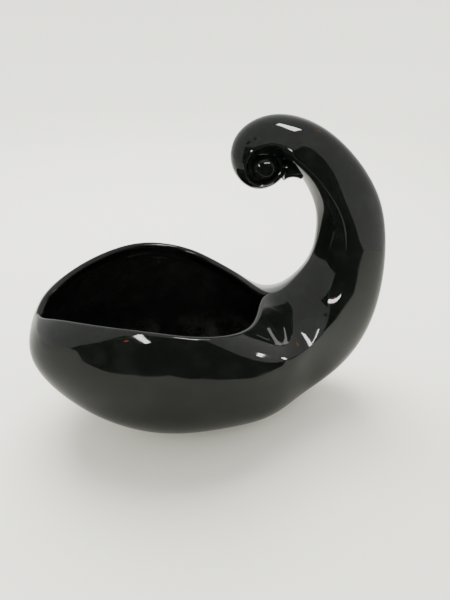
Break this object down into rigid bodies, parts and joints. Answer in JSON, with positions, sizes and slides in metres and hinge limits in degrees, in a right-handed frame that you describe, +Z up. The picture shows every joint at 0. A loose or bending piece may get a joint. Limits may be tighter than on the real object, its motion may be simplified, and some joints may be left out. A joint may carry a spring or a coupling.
{
  "type": "horn-shaped bowl",
  "caption": "Small glazed ceramic bowl shaped as a horn: a leaf-shaped mouth, and a hollow tail that curls back over it into a scroll with a domed button.",
  "frame": {"origin": "middle of the foot pad, on the surface the bowl stands on", "axes": "+X from the mouth's rounded tip towards the tail, in the plane that halves the bowl; +Z up"},
  "size_m": [0.1581, 0.0938, 0.1342],
  "materials": {
    "black_glaze": "high gloss, clear depth, slightly wavy",
    "bare_clay": "bare fired clay, matt and finely gritty"
  },
  "bodies": {
    "root": {"bowl": "black_glaze", "tail": "black_glaze", "scroll": "black_glaze", "near_button": "black_glaze", "far_button": "black_glaze", "foot_pad": "bare_clay"}
  },
  "joints": []
}
